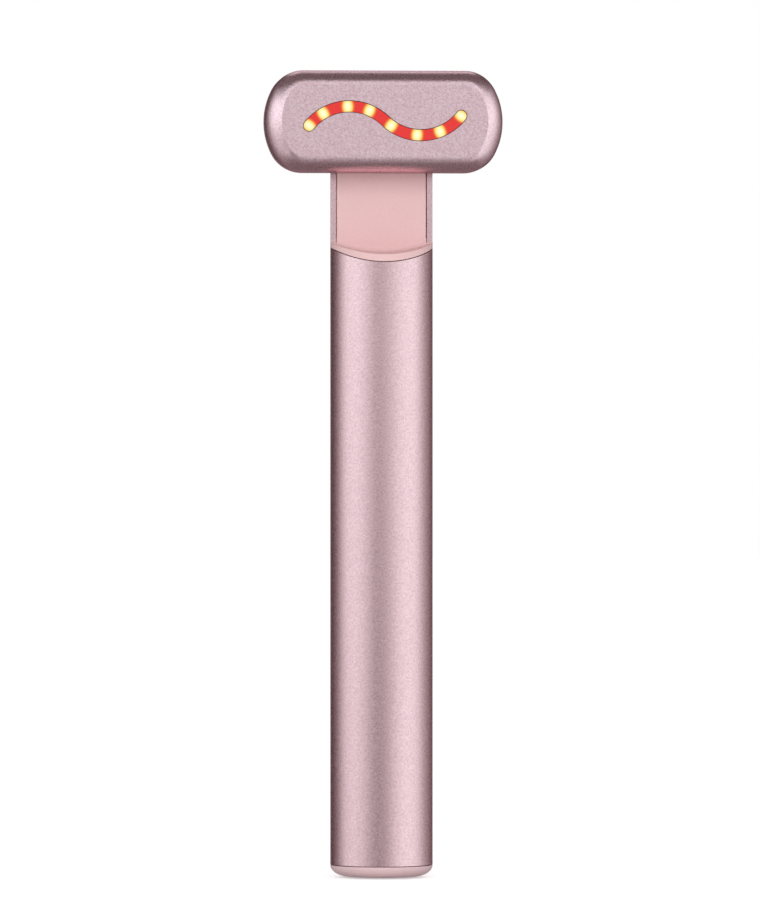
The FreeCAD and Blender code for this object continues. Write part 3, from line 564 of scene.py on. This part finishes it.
def glowing(name):
    """Material that gives light only to what reflects it."""
    material = bpy.data.materials.new(name)
    material.use_nodes = True
    material.cycles.emission_sampling = "NONE"
    tree = material.node_tree
    tree.nodes.clear()
    light = node(tree, "ShaderNodeEmission")
    output = node(tree, "ShaderNodeOutputMaterial")
    tree.links.new(light.outputs["Emission"], output.inputs["Surface"])
    return material, tree, light


def only_reflected(panel):
    """Leaves a panel to be seen in reflections alone."""
    panel.visible_camera = False
    panel.visible_diffuse = False
    panel.visible_transmission = False
    panel.visible_shadow = False


def warmed(level):
    """Colour of a grey level, the warmer the darker it is."""
    return level, level ** shade_warmth, level ** shade_warmth, 1.0


def wall_place(tree):
    """Where a point of the wall lies: a share of the way around it, and its height."""
    parts = node(tree, "ShaderNodeSeparateXYZ")
    tree.links.new(place(tree), parts.inputs["Vector"])
    ahead = node(tree, "ShaderNodeMath", operation="MULTIPLY")
    tree.links.new(parts.outputs["Y"], ahead.inputs[0])
    ahead.inputs[1].default_value = -1
    turn = node(tree, "ShaderNodeMath", operation="ARCTAN2")
    tree.links.new(parts.outputs["X"], turn.inputs[0])
    tree.links.new(ahead.outputs["Value"], turn.inputs[1])
    return spread(tree, turn.outputs["Value"], 0, 1, (-math.pi, math.pi)), parts.outputs["Z"]


def reflected_wall():
    """Round studio wall, light and dark by turns, that the metal mirrors."""
    material, tree, light = glowing("wall_light")
    around, height = wall_place(tree)
    low = ramp(tree, around, [((angle + 180) / 360, warmed(level)) for angle, level, _ in wall_tones])
    high = ramp(tree, around, [((angle + 180) / 360, warmed(level)) for angle, _, level in wall_tones])
    mixed = node(tree, "ShaderNodeMixRGB")
    tree.links.new(spread(tree, height, 0, 1, wall_tone_heights), mixed.inputs["Fac"])
    tree.links.new(low, mixed.inputs["Color1"])
    tree.links.new(high, mixed.inputs["Color2"])
    tree.links.new(mixed.outputs["Color"], light.inputs["Color"])
    points = []
    for index in range(wall_segments + 1):
        turn = 2 * math.pi * index / wall_segments
        for level in (wall_low, wall_high):
            points.append((wall_radius * math.sin(turn), -wall_radius * math.cos(turn), level))
    faces = [(k, k + 1, k + 3, k + 2) for k in range(0, 2 * wall_segments, 2)]
    wall = stage_mesh("reflected_wall", points, faces, material)
    wall.rotation_euler.z = math.radians(wall_turn_deg)
    only_reflected(wall)


def reflected_panel(name, height, outline, level):
    """Level panel above or below the wand, with an outline of X and Y, that the metal mirrors."""
    material, _, light = glowing(name + "_light")
    light.inputs["Color"].default_value = warmed(level)
    points = [(x, y, height) for x, y in outline]
    only_reflected(stage_mesh(name, points, [range(len(points))], material))


def reflected_ceiling():
    """Dark ceiling with a gap behind the wand, which leaves a bright line along the head's top."""
    side = wall_radius
    gap = overhead_gap_side
    back = overhead_back
    outline = [(-side, -side), (side, -side), (side, side), (gap, side)]
    outline += [(gap, back), (-gap, back), (-gap, side), (-side, side)]
    reflected_panel("reflected_ceiling", wall_high, outline, overhead_tone)


def reflected_ground():
    """Dark ground under the wand, with a lighter apron around it."""
    panels = [
        ("reflected_ground", wall_low, underfoot_side, underfoot_tone),
        ("reflected_apron", wall_low - apron_drop, wall_radius, apron_tone),
    ]
    for name, height, side, level in panels:
        outline = [(-side, -side), (side, -side), (side, side), (-side, side)]
        reflected_panel(name, height, outline, level)


def seen_rays(tree):
    """1 for rays from the camera, a reflection or clear plastic, and 0 for the rest."""
    path = node(tree, "ShaderNodeLightPath")
    total = path.outputs["Is Camera Ray"]
    for kind in ("Is Glossy Ray", "Is Transmission Ray"):
        made = node(tree, "ShaderNodeMath", operation="MAXIMUM")
        tree.links.new(total, made.inputs[0])
        tree.links.new(path.outputs[kind], made.inputs[1])
        total = made.outputs["Value"]
    return total


def studio_world():
    """White surround that lights the wand evenly."""
    world = bpy.data.worlds.new("studio")
    world.use_nodes = True
    tree = world.node_tree
    surround = tree.nodes["Background"]
    surround.inputs["Color"].default_value = (1.0, 1.0, 1.0, 1.0)
    strength = spread(tree, seen_rays(tree), ambient_strength, 1.0, (0, 1))
    tree.links.new(strength, surround.inputs["Strength"])
    bpy.context.scene.world = world


def pale_floor():
    """White floor that keeps the wand's shadow."""
    material = bpy.data.materials.new("pale_floor")
    material.use_nodes = True
    tree = material.node_tree
    shader = tree.nodes["Principled BSDF"]
    shader.inputs["Base Color"].default_value = floor_tone
    shader.inputs["Roughness"].default_value = 1.0
    shader.inputs["Emission Color"].default_value = (1.0, 1.0, 1.0, 1.0)
    lift = spread(tree, seen_rays(tree), 0, floor_lift, (0, 1))
    tree.links.new(lift, shader.inputs["Emission Strength"])
    half = floor_half_size
    corners = [(-half, -half), (half, -half), (half, half), (-half, half)]
    points = [(x, y, -floor_drop) for x, y in corners]
    floor = stage_mesh("floor", points, [(0, 1, 2, 3)], material)
    floor.visible_glossy = False


def key_light():
    """Large soft lamp in front of the wand."""
    lamp = bpy.data.lights.new("key", "AREA")
    lamp.energy = key_power
    lamp.size = key_size
    made = bpy.data.objects.new("key", lamp)
    bpy.context.scene.collection.objects.link(made)
    made.location = key_place
    aim = Vector((0, 0, camera_height)) - made.location
    made.rotation_euler = aim.to_track_quat("-Z", "Y").to_euler()
    made.visible_glossy = False


def camera():
    """Camera in front of the treatment face."""
    lens = bpy.data.cameras.new("camera")
    lens.sensor_width = sensor_size_mm
    lens.lens = focal_px * sensor_size_mm / image_height_px
    made = bpy.data.objects.new("camera", lens)
    bpy.context.scene.collection.objects.link(made)
    yaw = math.radians(camera_yaw_deg)
    across = camera_side - camera_distance * math.sin(yaw)
    made.location = (across, -camera_distance * math.cos(yaw), camera_height)
    made.rotation_euler = (math.pi / 2, 0, -yaw)
    bpy.context.scene.camera = made


dress_nodes()
reflected_wall()
reflected_ceiling()
reflected_ground()
studio_world()
pale_floor()
key_light()
camera()
bpy.context.scene.view_settings.view_transform = "Standard"
